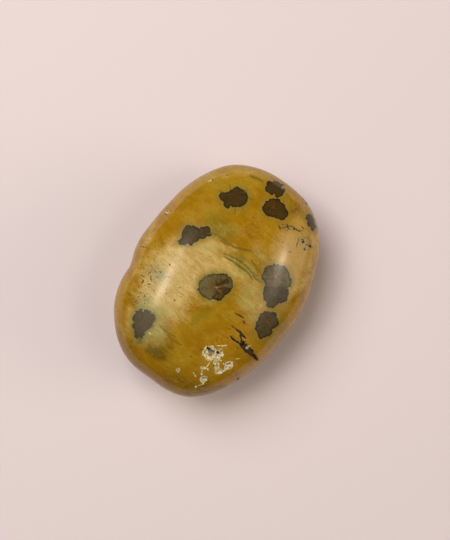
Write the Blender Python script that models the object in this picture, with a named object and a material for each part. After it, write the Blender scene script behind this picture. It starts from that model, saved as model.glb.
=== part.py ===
"""Palm stone: one oval pebble of spotted yellow jasper, polished by hand.

It lies on a small flat spot. +X runs along its length, +Y across it and +Z up, and the origin is
under its middle, on the surface that it lies on. Lengths are in metres.
"""

import math
from typing import NamedTuple

import bmesh
import bpy
from mathutils import Matrix, Vector, noise

LENGTH = 0.065
WIDTH = 0.0468
DOME_RISE = 0.0125
WIDEST_LEVEL = 0.0115

# How far the flat spot is ground into the rounded underside.
FLAT_CUT = 0.00035

# A power of 2 gives an ellipse, and a higher one gives squarer shoulders.
OUTLINE_POWER = 2.34
PROFILE_POWER = 2.08

# How fast a ground spot fades as the surface turns in above and below the widest level.
GROUND_FADE = 8

BODY_SUBDIVISIONS = 5
PIT_SUBDIVISIONS = 2
WIDE_PIT_SUBDIVISIONS = 3
WIDE_PIT = 0.003
LUMP_SCALE = 1.7
STEP_FOR_SLOPE = 1e-6
SHARP_ANGLE = math.radians(35)

POLISHED_YELLOW = (0.36, 0.19, 0.012, 1.0)
POLISH_ROUGHNESS = 0.2


class GroundSpot(NamedTuple):
    """A place where the hand-ground outline leaves the even oval."""

    bearing_deg: float
    spread_deg: float
    outward: float


GROUND_SPOTS = (
    GroundSpot(-162, 9, 0.0005),
    GroundSpot(-133, 12, -0.0005),
    GroundSpot(-80, 16, 0.0005),
    GroundSpot(-53, 7, -0.0003),
    GroundSpot(-6, 9, -0.00015),
    GroundSpot(27, 9, 0.00035),
    GroundSpot(64, 9, -0.0002),
    GroundSpot(92, 9, 0.00035),
    GroundSpot(113, 7, -0.0009),
    GroundSpot(135, 8, 0.0003),
    GroundSpot(177, 8, -0.0004),
)


class Pit(NamedTuple):
    """A natural hollow that the polishing left open, placed from the middle of the widest level."""

    name: str
    place: tuple[float, float, float]
    length: float
    width: float
    depth: float
    turn_deg: float
    roughness: float


PITS = (
    Pit("vug_main", (-0.0162, -0.0097, 0.0098), 0.0050, 0.0036, 0.0016, -50, 0.34),
    Pit("vug_neck", (-0.0189, -0.0126, 0.0082), 0.0040, 0.0020, 0.0011, 20, 0.36),
    Pit("vug_arm", (-0.0172, -0.0148, 0.0077), 0.0028, 0.0022, 0.0009, -35, 0.36),
    Pit("vug_low", (-0.0237, -0.0111, 0.0069), 0.0030, 0.0021, 0.0010, 25, 0.36),
    Pit("vug_link", (-0.0208, -0.0098, 0.0084), 0.0022, 0.0009, 0.0006, -45, 0.30),
    Pit("pinhole", (-0.0253, -0.0043, 0.0077), 0.0013, 0.0010, 0.0007, 10, 0.25),
    Pit("crack_wide", (-0.0112, -0.0165, 0.0080), 0.0068, 0.0015, 0.0013, -103, 0.26),
    Pit("crack_upper", (-0.0082, -0.0129, 0.0101), 0.0042, 0.0010, 0.0008, -103, 0.26),
    Pit("crack_side", (-0.0104, -0.0126, 0.0099), 0.0034, 0.0007, 0.0007, -103, 0.20),
    Pit("crack_top", (-0.0043, -0.0098, 0.0113), 0.0030, 0.0006, 0.0006, -88, 0.20),
    Pit("chip_left", (0.0081, 0.0211, 0.0052), 0.0018, 0.0012, 0.0006, -20, 0.34),
    Pit("chip_head", (0.0214, 0.0163, 0.0052), 0.0016, 0.0010, 0.0005, -60, 0.34),
    Pit("chip_nose", (0.0314, -0.0072, 0.0016), 0.0016, 0.0010, 0.0005, 60, 0.34),
    Pit("nick_right", (0.0211, -0.0191, 0.0015), 0.0026, 0.0012, 0.0005, -35, 0.34),
    Pit("nick_flank", (0.0159, -0.0203, 0.0036), 0.0022, 0.0010, 0.0005, -15, 0.34),
    Pit("vug_under", (0.0130, -0.0105, -0.0085), 0.0032, 0.0020, 0.0010, 40, 0.34),
    Pit("crack_under", (-0.0150, 0.0120, -0.0068), 0.0048, 0.0009, 0.0007, -70, 0.24),
)


def shell_value(point):
    """1 on the even oval, less inside it and more outside it."""
    x, y, z = point
    depth = DOME_RISE if z > 0 else WIDEST_LEVEL + FLAT_CUT
    plan = abs(x / (LENGTH / 2)) ** OUTLINE_POWER + abs(y / (WIDTH / 2)) ** OUTLINE_POWER
    return plan ** (PROFILE_POWER / OUTLINE_POWER) + abs(z / depth) ** PROFILE_POWER


def ground_move(bearing_deg):
    """How far the hand grinding moves the rim outwards at this bearing."""
    moved = 0.0
    for spot in GROUND_SPOTS:
        away = (bearing_deg - spot.bearing_deg + 180) % 360 - 180
        moved += spot.outward * math.exp(-((away / spot.spread_deg) ** 2))
    return moved


def on_surface(point):
    """Where the ray from the middle of the widest level through this point leaves the polished surface."""
    even = point * shell_value(point) ** (-1 / PROFILE_POWER)
    reach = math.hypot(even.x, even.y)
    if reach > 0:
        rim_reach = reach * shell_value(Vector((even.x, even.y, 0))) ** (-1 / PROFILE_POWER)
        moved = ground_move(math.degrees(math.atan2(even.y, even.x))) * (reach / rim_reach) ** GROUND_FADE
        even.x *= 1 + moved / reach
        even.y *= 1 + moved / reach
    return Vector((even.x, even.y, max(even.z, -WIDEST_LEVEL)))


def outward_at(point):
    """The surface's outward direction at this point, from the slope of the shell value."""
    slope = []
    for axis in range(3):
        step = Vector((0, 0, 0))
        step[axis] = STEP_FOR_SLOPE
        slope.append(shell_value(point + step) - shell_value(point - step))
    return Vector(slope).normalized()


def polished_jasper():
    """The yellow body colour under a hand polish."""
    material = bpy.data.materials.new("polished_jasper")
    material.use_nodes = True
    shader = material.node_tree.nodes["Principled BSDF"]
    shader.inputs["Base Color"].default_value = POLISHED_YELLOW
    shader.inputs["Roughness"].default_value = POLISH_ROUGHNESS
    shader.inputs["Metallic"].default_value = 0.0
    return material


def icosphere(name, subdivisions, collection):
    """An icosphere of radius 1 as an object in this collection, and its bmesh still open for shaping."""
    mesh = bpy.data.meshes.new(name)
    obj = bpy.data.objects.new(name, mesh)
    collection.objects.link(obj)
    shape = bmesh.new()
    bmesh.ops.create_icosphere(shape, subdivisions=subdivisions, radius=1.0)
    return obj, shape


def close_shape(obj, shape):
    """Writes the finished bmesh to its object."""
    shape.to_mesh(obj.data)
    shape.free()


def pebble(collection):
    """The polished body: an icosphere drawn out to the oval, with its lowest points set on one plane.

    Returns the object and the middle of its widest level, which the pits are placed from.
    """
    obj, shape = icosphere("palm_stone", BODY_SUBDIVISIONS, collection)
    oval = Vector((LENGTH / 2, WIDTH / 2, DOME_RISE))
    for vertex in shape.verts:
        vertex.co = on_surface(vertex.co * oval)
    low = Vector([min(vertex.co[axis] for vertex in shape.verts) for axis in range(3)])
    high = Vector([max(vertex.co[axis] for vertex in shape.verts) for axis in range(3)])
    middle = Vector((-(low.x + high.x) / 2, -(low.y + high.y) / 2, WIDEST_LEVEL))
    bmesh.ops.translate(shape, verts=shape.verts, vec=middle)
    close_shape(obj, shape)
    obj.data.shade_smooth()
    obj.data.set_sharp_from_angle(angle=SHARP_ANGLE)
    obj.data.materials.append(polished_jasper())
    return obj, middle


def pit_cutter(pit, middle, collection):
    """A rough lump of the pit's size, centred on the polished surface, that is cut out of the body."""
    place = on_surface(Vector(pit.place))
    outward = outward_at(place)
    heading = Vector((math.cos(math.radians(pit.turn_deg)), math.sin(math.radians(pit.turn_deg)), 0))
    along = (heading - outward * heading.dot(outward)).normalized()
    across = outward.cross(along)
    frame = Matrix((along, across, outward)).transposed()
    half_sizes = Vector((pit.length / 2, pit.width / 2, pit.depth))
    subdivisions = WIDE_PIT_SUBDIVISIONS if pit.width >= WIDE_PIT else PIT_SUBDIVISIONS
    obj, shape = icosphere(pit.name, subdivisions, collection)
    own_noise = Vector(pit.place) * 1000
    for vertex in shape.verts:
        lump = 1 + pit.roughness * noise.noise(vertex.co * LUMP_SCALE + own_noise)
        vertex.co = frame @ (vertex.co * half_sizes * lump) + place + middle
    close_shape(obj, shape)
    obj.hide_render = True
    obj.display_type = "WIRE"


def main():
    """Builds the stone in an empty scene."""
    for obj in list(bpy.data.objects):
        bpy.data.objects.remove(obj)
    parts = bpy.data.collections.new("palm_stone")
    cutters = bpy.data.collections.new("pit_cutters")
    for collection in (parts, cutters):
        bpy.context.scene.collection.children.link(collection)
    stone, middle = pebble(parts)
    for pit in PITS:
        pit_cutter(pit, middle, cutters)
    cut = stone.modifiers.new("natural_pits", "BOOLEAN")
    cut.operation = "DIFFERENCE"
    cut.operand_type = "COLLECTION"
    cut.collection = cutters
    cut.solver = "EXACT"


if __name__ == "__main__":
    main()
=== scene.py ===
"""A hand-polished palm stone of spotted yellow jasper, finished over its plain solid.

The stone is one piece. Its oval form is a Geometry Nodes tree over a sphere that is finest where the
markings are. The markings are drawn on it by rule, and a second tree grows the quartz in its open pits.
Objects are in metres, +Z up, with the origin on the resting surface. Classes that draw markings work in
millimetres from the middle of the stone's widest level.
"""

import logging
import math
from collections.abc import Iterable
from dataclasses import dataclass, field
from enum import Enum
from itertools import chain, pairwise
from typing import Any, ClassVar

import bmesh
import bpy
import numpy as np
from mathutils import Matrix, Vector, noise

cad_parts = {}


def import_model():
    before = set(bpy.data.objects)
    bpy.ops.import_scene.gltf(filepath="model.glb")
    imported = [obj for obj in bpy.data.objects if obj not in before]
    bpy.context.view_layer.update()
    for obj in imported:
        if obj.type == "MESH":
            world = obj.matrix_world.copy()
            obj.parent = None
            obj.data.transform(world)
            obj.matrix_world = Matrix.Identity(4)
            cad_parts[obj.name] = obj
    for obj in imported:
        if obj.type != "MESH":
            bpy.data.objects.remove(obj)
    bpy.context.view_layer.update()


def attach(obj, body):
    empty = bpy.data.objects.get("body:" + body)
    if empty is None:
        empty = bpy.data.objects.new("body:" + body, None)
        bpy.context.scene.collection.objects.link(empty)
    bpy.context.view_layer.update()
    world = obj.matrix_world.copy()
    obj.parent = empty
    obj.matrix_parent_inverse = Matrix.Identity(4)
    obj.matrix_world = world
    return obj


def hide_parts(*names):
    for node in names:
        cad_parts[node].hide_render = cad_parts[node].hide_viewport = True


LOG = logging.getLogger("palm_stone")
MM = 0.001
QUARTZ_IOR = 1.54
Colour = tuple[float, float, float]
Spot = tuple[float, float]


class Signal:
    """One output of a node, on which arithmetic adds Math nodes to the same tree."""

    def __init__(self, sheet: "NodeSheet", socket: bpy.types.NodeSocket) -> None:
        """Wraps a socket.

        Args:
            sheet: The tree's writer.
            socket: The output that this stands for.
        """
        self.sheet = sheet
        self.socket = socket

    def __add__(self, other: "Signal | float") -> "Signal":
        """This plus other."""
        return self.sheet.math("ADD", self, other)

    def __radd__(self, other: float) -> "Signal":
        """Other plus this."""
        return self.sheet.math("ADD", other, self)

    def __sub__(self, other: "Signal | float") -> "Signal":
        """This minus other."""
        return self.sheet.math("SUBTRACT", self, other)

    def __rsub__(self, other: float) -> "Signal":
        """Other minus this."""
        return self.sheet.math("SUBTRACT", other, self)

    def __mul__(self, other: "Signal | float") -> "Signal":
        """This times other."""
        return self.sheet.math("MULTIPLY", self, other)

    def __rmul__(self, other: float) -> "Signal":
        """Other times this."""
        return self.sheet.math("MULTIPLY", other, self)

    def __truediv__(self, other: "Signal | float") -> "Signal":
        """This over other."""
        return self.sheet.math("DIVIDE", self, other)

    def __rtruediv__(self, other: float) -> "Signal":
        """Other over this."""
        return self.sheet.math("DIVIDE", other, self)

    def __pow__(self, other: "Signal | float") -> "Signal":
        """This to the power of other."""
        return self.sheet.math("POWER", self, other)

    def __neg__(self) -> "Signal":
        """This with its sign turned."""
        return self.sheet.math("MULTIPLY", self, -1.0)

    def __abs__(self) -> "Signal":
        """This without its sign."""
        return self.sheet.math("ABSOLUTE", self)

    def clamped(self) -> "Signal":
        """This, kept from 0 to 1."""
        return self.sheet.node("ShaderNodeClamp", feeds={"Value": self})

    def step(self, low: "Signal | float", high: "Signal | float") -> "Signal":
        """A smooth step.

        Args:
            low: The value that gives 0.
            high: The value that gives 1, which may be the smaller of the two.

        Returns:
            A signal from 0 to 1.
        """
        ends = {"Value": self, "From Min": low, "From Max": high}
        return self.sheet.node("ShaderNodeMapRange", {"interpolation_type": "SMOOTHSTEP"}, ends)


Feed = Signal | float | tuple[float, ...] | str | bool | bpy.types.ID


class NodeSheet:
    """Writes nodes and links into one shader, world or geometry tree."""

    def __init__(self, tree: bpy.types.NodeTree) -> None:
        """Starts on a tree.

        Args:
            tree: The tree to write into.
        """
        self.tree = tree

    @staticmethod
    def find(sockets: Iterable[bpy.types.NodeSocket], key: str | int) -> bpy.types.NodeSocket:
        """The socket with this identifier, name or number.

        Args:
            sockets: A node's inputs or outputs.
            key: What it is called, or its place in the list.

        Returns:
            The socket.
        """
        listed = list(sockets)
        if isinstance(key, int):
            return listed[key]
        for socket in listed:
            if socket.identifier == key:
                return socket
        return next(socket for socket in listed if socket.name == key and socket.enabled)

    def node(
        self,
        kind: str,
        settings: dict[str, Any] | None = None,
        feeds: dict[str | int, Feed] | None = None,
        outlet: str | int = 0,
    ) -> Signal:
        """Adds one node of any kind.

        Args:
            kind: Its Blender type.
            settings: Its own settings, set first.
            feeds: A value or a signal for each input that is used.
            outlet: The output that is wanted.

        Returns:
            That output.
        """
        made = self.tree.nodes.new(kind)
        for name, value in (settings or {}).items():
            setattr(made, name, value)
        self.fill(made, feeds or {})
        return Signal(self, self.find(made.outputs, outlet) if made.outputs else None)

    def fill(self, node: bpy.types.Node, feeds: dict[str | int, Feed]) -> None:
        """Feeds several inputs of a node.

        Args:
            node: The node.
            feeds: A value or a signal for each input that is used.
        """
        for key, value in feeds.items():
            self.feed(self.find(node.inputs, key), value)

    def feed(self, socket: bpy.types.NodeSocket, value: Feed) -> None:
        """Links a signal to an input, or sets the input's own value.

        Args:
            socket: The input.
            value: A signal, a number, a vector, a colour or a name.
        """
        if isinstance(value, Signal):
            self.tree.links.new(value.socket, socket)
        elif socket.type == "RGBA" and len(value) == 3:
            socket.default_value = (*value, 1.0)
        else:
            socket.default_value = value

    def math(self, operation: str, *values: Feed) -> Signal:
        """One Math node.

        Args:
            operation: Its operation.
            values: Its inputs in order.

        Returns:
            Its value.
        """
        return self.node("ShaderNodeMath", {"operation": operation}, dict(enumerate(values)))

    def vector(self, operation: str, outlet: str, *values: Feed) -> Signal:
        """One Vector Math node.

        Args:
            operation: Its operation.
            outlet: "Vector" or "Value".
            values: Its inputs in order.

        Returns:
            The output asked for.
        """
        kind = "ShaderNodeVectorMath"
        return self.node(kind, {"operation": operation}, dict(enumerate(values)), outlet)

    def scaled(self, vector: Feed, factor: Feed) -> Signal:
        """A vector or a colour times one number.

        Args:
            vector: The vector or colour.
            factor: The number.

        Returns:
            The product.
        """
        feeds = {0: vector, "Scale": factor}
        return self.node("ShaderNodeVectorMath", {"operation": "SCALE"}, feeds, "Vector")

    def place_mm(self) -> Signal:
        """Where a point of the surface is in its object's own coordinates, in millimetres."""
        return self.scaled(self.node("ShaderNodeTexCoord", outlet="Object"), 1 / MM)

    def blend(self, share: Feed, under: Feed, over: Feed, how: str = "MIX") -> Signal:
        """One Mix node on colours.

        Args:
            share: How much of the second colour shows.
            under: The first colour.
            over: The second colour.
            how: The blend type.

        Returns:
            The mixed colour.
        """
        settings = {"data_type": "RGBA", "blend_type": how}
        feeds = {"Factor_Float": share, "A_Color": under, "B_Color": over}
        return self.node("ShaderNodeMix", settings, feeds, "Result_Color")

    def axes(self, vector: Signal) -> tuple[Signal, Signal, Signal]:
        """A vector's three parts.

        Args:
            vector: The vector.

        Returns:
            Its x, y and z.
        """
        parts = self.node("ShaderNodeSeparateXYZ", feeds={"Vector": vector}).socket.node
        return tuple(Signal(self, output) for output in parts.outputs)

    def attribute(self, name: str, outlet: str = "Fac") -> Signal:
        """A mesh attribute in a shader.

        Args:
            name: The attribute.
            outlet: "Fac" for a number, "Vector" for three.

        Returns:
            Its value over the surface.
        """
        return self.node("ShaderNodeAttribute", {"attribute_name": name}, outlet=outlet)

    def grain(self, where: Signal, sizes: Feed, detail: float = 3.0, turn_deg: float = 0.0) -> Signal:
        """Noise whose lumps have sizes in millimetres.

        Args:
            where: The place, in millimetres.
            sizes: A lump's size along x, y and z, after the turn.
            detail: How many finer layers it has.
            turn_deg: How far its axes are turned about z.

        Returns:
            Noise from 0 to 1 about 0.5.
        """
        mapped = self.node(
            "ShaderNodeMapping",
            {"vector_type": "TEXTURE"},
            {"Vector": where, "Rotation": (0.0, 0.0, math.radians(turn_deg)), "Scale": sizes},
        )
        return self.node("ShaderNodeTexNoise", feeds={"Vector": mapped, "Scale": 1.0, "Detail": detail})

    def cells(self, where: Signal, size: float, outlet: str = "Distance") -> Signal:
        """Voronoi cells of a size in millimetres.

        Args:
            where: The place, in millimetres.
            size: A cell's size.
            outlet: "Distance" from a cell's middle, in cell sizes, or its random "Color".

        Returns:
            The output asked for.
        """
        return self.node("ShaderNodeTexVoronoi", feeds={"Vector": where, "Scale": 1 / size}, outlet=outlet)


def add_object(name: str, data: bpy.types.ID) -> bpy.types.Object:
    """Adds an object to the scene.

    Args:
        name: Its name.
        data: Its mesh, camera or light.

    Returns:
        The object.
    """
    made = bpy.data.objects.new(name, data)
    bpy.context.scene.collection.objects.link(made)
    return made


def new_material(name: str) -> tuple[bpy.types.Material, NodeSheet, bpy.types.Node]:
    """Starts a material.

    Args:
        name: Its name.

    Returns:
        The material, its tree's writer and its Principled shader.
    """
    made = bpy.data.materials.new(name)
    made.use_nodes = True
    return made, NodeSheet(made.node_tree), made.node_tree.nodes["Principled BSDF"]


def axes_about(facing: Vector, turn_deg: float) -> tuple[Vector, Vector]:
    """Two directions square to the one that something faces, and to each other.

    Args:
        facing: The direction faced, of length 1.
        turn_deg: The bearing from +X that the first direction follows.

    Returns:
        The direction along and the direction across.
    """
    turn = math.radians(turn_deg)
    along = Vector((math.cos(turn), math.sin(turn), 0))
    along = (along - facing * along.dot(facing)).normalized()
    return along, facing.cross(along)


@dataclass
class GeometryTool:
    """A Geometry Nodes tree with named inputs, run once on a mesh."""

    name: str
    sheet: NodeSheet = field(init=False)
    entry: bpy.types.Node = field(init=False)

    def __post_init__(self) -> None:
        """Makes the empty tree with its geometry input and output."""
        tree = bpy.data.node_groups.new(self.name, "GeometryNodeTree")
        tree.interface.new_socket("Geometry", in_out="INPUT", socket_type="NodeSocketGeometry")
        tree.interface.new_socket("Geometry", in_out="OUTPUT", socket_type="NodeSocketGeometry")
        self.sheet = NodeSheet(tree)
        self.entry = tree.nodes.new("NodeGroupInput")

    def inlet(self, name: str, kind: str = "Float") -> Signal:
        """Adds a named input.

        Args:
            name: What it is called.
            kind: Its type, such as Float, Int or Material.

        Returns:
            Its value inside the tree.
        """
        self.sheet.tree.interface.new_socket(name, in_out="INPUT", socket_type="NodeSocket" + kind)
        return Signal(self.sheet, NodeSheet.find(self.entry.outputs, name))

    def geometry(self) -> Signal:
        """The mesh that comes in."""
        return Signal(self.sheet, self.entry.outputs["Geometry"])

    def attribute(self, name: str) -> Signal:
        """A number stored on the mesh that comes in.

        Args:
            name: The attribute.

        Returns:
            Its value over the mesh.
        """
        kind = "GeometryNodeInputNamedAttribute"
        return self.sheet.node(kind, {"data_type": "FLOAT"}, {"Name": name}, "Attribute")

    def close(self, shape: Signal, material: Signal) -> None:
        """Ends the tree in real geometry with its material set.

        Args:
            shape: The finished geometry.
            material: The material input.
        """
        real = self.sheet.node("GeometryNodeRealizeInstances", feeds={0: shape})
        coloured = self.sheet.node("GeometryNodeSetMaterial", feeds={"Geometry": real, "Material": material})
        self.sheet.node("NodeGroupOutput", feeds={0: coloured})

    def run(self, mesh: bpy.types.Mesh, values: dict[str, Any], name: str) -> bpy.types.Mesh:
        """Runs the tree on a mesh.

        Args:
            mesh: The mesh that goes in, which is left as it is.
            values: A value for each named input.
            name: The new mesh's name.

        Returns:
            The result as a plain mesh.
        """
        carrier = add_object(name + "_carrier", mesh)
        modifier = carrier.modifiers.new(self.name, "NODES")
        modifier.node_group = self.sheet.tree
        for item in self.sheet.tree.interface.items_tree:
            if item.in_out == "INPUT" and item.name in values:
                modifier[item.identifier] = values[item.name]
        depsgraph = bpy.context.evaluated_depsgraph_get()
        evaluated = carrier.evaluated_get(depsgraph)
        made = bpy.data.meshes.new_from_object(evaluated, preserve_all_data_layers=True, depsgraph=depsgraph)
        made.name = name
        for number in reversed(range(len(made.materials))):
            if made.materials[number] is None:
                made.materials.pop(index=number)
        carrier.modifiers.remove(modifier)
        bpy.data.objects.remove(carrier)
        return made


@dataclass(frozen=True)
class PhotoView:
    """The reference view, straight down on the dome. Millimetres run from the middle of the widest level."""

    width_px: float = 450.0
    height_px: float = 540.0
    px_per_mm: float = 3.687
    eye_x: float = 3.57
    eye_y: float = -0.23
    eye_height: float = 300.0
    turn_deg: float = 56.73
    sensor: float = 36.0
    nearest_seen: float = 10.0

    def pixels(self, place: np.ndarray) -> np.ndarray:
        """Where places on the stone stand in the picture.

        Args:
            place: Rows of x, y and z in millimetres.

        Returns:
            Rows of pixels right and pixels down.
        """
        turn = math.radians(self.turn_deg)
        along = place[:, 0] - self.eye_x
        across = place[:, 1] - self.eye_y
        scale = self.px_per_mm * self.eye_height / (self.eye_height - place[:, 2])
        right = (along * math.cos(turn) - across * math.sin(turn)) * scale
        up = (along * math.sin(turn) + across * math.cos(turn)) * scale
        return np.stack([self.width_px / 2 + right, self.height_px / 2 - up], axis=1)

    def add_camera(self, middle: Vector) -> None:
        """Sets the camera up.

        Args:
            middle: The middle of the stone's widest level, in metres.
        """
        data = bpy.data.cameras.new("photo_view")
        data.sensor_width = self.sensor
        data.lens = self.sensor * self.eye_height * self.px_per_mm / self.height_px
        data.clip_start = self.nearest_seen * MM
        camera = add_object("photo_view", data)
        camera.location = middle + Vector((self.eye_x, self.eye_y, self.eye_height)) * MM
        camera.rotation_euler = (0.0, 0.0, -math.radians(self.turn_deg))
        bpy.context.scene.camera = camera


class Chart(Enum):
    """How a marking's place is given."""

    PHOTO = "pixels of the reference view, on the top"
    UNDER = "plan millimetres, on the underside"
    FLANK = "degrees round from +X and millimetres up from the widest level, on the side"


class Skin:
    """Every vertex of the stone's surface, with the charts that its markings are placed on."""

    FLANK_FROM = 0.8
    WANDER_SIZES = ((2.6, 0.22), (0.9, 0.1))
    CRUMBLE_SIZES = ((1.0, 1.0), (0.4, 0.7))
    NOISE_SEED = 8

    def __init__(self, mesh: bpy.types.Mesh, view: PhotoView) -> None:
        """Reads the surface.

        Args:
            mesh: A shaped stone with its from_middle attribute.
            view: The view that the PHOTO chart follows.
        """
        count = len(mesh.vertices)
        self.place = np.empty(count * 3, np.float32)
        mesh.attributes["from_middle"].data.foreach_get("vector", self.place)
        self.place = self.place.reshape(-1, 3) / MM
        self.view = view
        self.wander = self.noise_at(self.WANDER_SIZES)
        self.crumble = self.noise_at(self.CRUMBLE_SIZES)[:, 2]
        self.pixel = view.pixels(self.place)
        self.bearing = np.degrees(np.arctan2(self.place[:, 1], self.place[:, 0]))
        self.reach = np.hypot(self.place[:, 0], self.place[:, 1])
        widest = np.abs(self.place).max(axis=0)
        self.rim_share = np.hypot(self.place[:, 0] / widest[0], self.place[:, 1] / widest[1])

    def noise_at(self, sizes: Iterable[Spot]) -> np.ndarray:
        """Smooth noise vectors at every vertex.

        Args:
            sizes: Pairs of lump size and strength in millimetres.

        Returns:
            Rows of x, y and z in millimetres.
        """
        noise.seed_set(self.NOISE_SEED)
        total = np.zeros_like(self.place)
        for size, strength in sizes:
            total += strength * np.array([noise.noise_vector(Vector(p)) for p in self.place / size])
        return total

    def step(self, chart: Chart) -> float:
        """The millimetres in one step of a chart."""
        return 1 / self.view.px_per_mm if chart is Chart.PHOTO else 1.0

    def offsets(self, chart: Chart, x: float, y: float) -> tuple[np.ndarray, np.ndarray, np.ndarray]:
        """How far every vertex lies from a place on a chart.

        Args:
            chart: The chart.
            x: The place's first value on it.
            y: Its second value.

        Returns:
            Millimetres along, millimetres across, and millimetres beyond the chart's own side.
        """
        if chart is Chart.PHOTO:
            step = self.step(chart)
            along = (self.pixel[:, 0] - x) * step
            across = (y - self.pixel[:, 1]) * step
            beyond = np.maximum(0, -self.place[:, 2])
        elif chart is Chart.UNDER:
            along = self.place[:, 0] - x
            across = self.place[:, 1] - y
            beyond = np.maximum(0, self.place[:, 2])
        else:
            along = np.radians((self.bearing - x + 180) % 360 - 180) * self.reach
            across = self.place[:, 2] - y
            beyond = np.maximum(0, self.FLANK_FROM - self.rim_share) * self.reach
        return along + self.wander[:, 0], across + self.wander[:, 1], beyond


@dataclass(frozen=True)
class Oval:
    """An oval on a chart, in that chart's steps."""

    x: float
    y: float
    half_length: float
    half_width: float
    turn_deg: float = 0.0
    chart: Chart = Chart.PHOTO

    def gap(self, skin: Skin) -> np.ndarray:
        """How far outside it every vertex lies, in millimetres, and below 0 inside it."""
        along, across, beyond = skin.offsets(self.chart, self.x, self.y)
        turn = math.radians(self.turn_deg)
        u = along * math.cos(turn) + across * math.sin(turn)
        v = across * math.cos(turn) - along * math.sin(turn)
        long_half = self.half_length * skin.step(self.chart)
        short_half = self.half_width * skin.step(self.chart)
        share = np.hypot(u / long_half, v / short_half)
        slope = np.hypot(u / long_half**2, v / short_half**2) / np.maximum(share, 1e-6)
        return (share - 1) / np.maximum(slope, 1 / max(long_half, short_half)) + beyond


@dataclass(frozen=True)
class Stroke:
    """A line with tapering ends along a route on a chart. Its half width is in millimetres."""

    half_width: float
    route: tuple[Spot, ...]
    chart: Chart = Chart.PHOTO
    blunt_end: ClassVar[float] = 0.05

    def gap(self, skin: Skin) -> np.ndarray:
        """How far outside it every vertex lies, in millimetres, and below 0 inside it."""
        nearest = np.full(len(skin.place), np.inf)
        legs = len(self.route) - 1
        for number, (start, end) in enumerate(pairwise(self.route)):
            from_start = np.stack(skin.offsets(self.chart, *start)[:2])
            from_end = np.stack(skin.offsets(self.chart, *end)[:2])
            leg = from_start - from_end
            share = np.clip((from_start * leg).sum(0) / (leg**2).sum(0), 0, 1)
            away = np.hypot(*(from_start - leg * share))
            from_end_share = np.abs(2 * (number + share) / legs - 1)
            half_width = self.half_width * np.sqrt(np.maximum(self.blunt_end, 1 - from_end_share**3))
            nearest = np.minimum(nearest, away - half_width)
        return nearest + skin.offsets(self.chart, *self.route[0])[2]


Mark = Oval | Stroke


def nearest_gap(marks: Iterable["Mark | Pit"], skin: Skin) -> np.ndarray:
    """The gap to the nearest of several marks or pits.

    Args:
        marks: The marks.
        skin: The surface.

    Returns:
        The smallest gap at every vertex, in millimetres.
    """
    return np.min([mark.gap(skin) for mark in marks], axis=0)


def soft_share(gap: np.ndarray, softness: float) -> np.ndarray:
    """A smooth share from a gap.

    Args:
        gap: Millimetres outside an edge.
        softness: Millimetres from the edge to where the share reaches 0 outside and 1 inside.

    Returns:
        0 well outside, 0.5 on the edge and 1 well inside.
    """
    share = np.clip((softness - gap) / (2 * softness), 0, 1)
    return share * share * (3 - 2 * share)


@dataclass(frozen=True)
class Orb:
    """One dark spot: overlapping ovals about a core, and how its minerals differ from the others'.

    Each lobe has the place, the half sizes and, where it is turned, the turn of an Oval on its chart.
    """

    core: Spot
    lobes: tuple[tuple[float, ...], ...]
    rust: float
    rays: float = 0.0
    pallor: float = 0.0
    blue: float = 0.0
    chart: Chart = Chart.PHOTO

    def ovals(self) -> list[Oval]:
        """Its lobes as ovals on its chart."""
        return [Oval(*lobe, chart=self.chart) for lobe in self.lobes]


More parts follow.
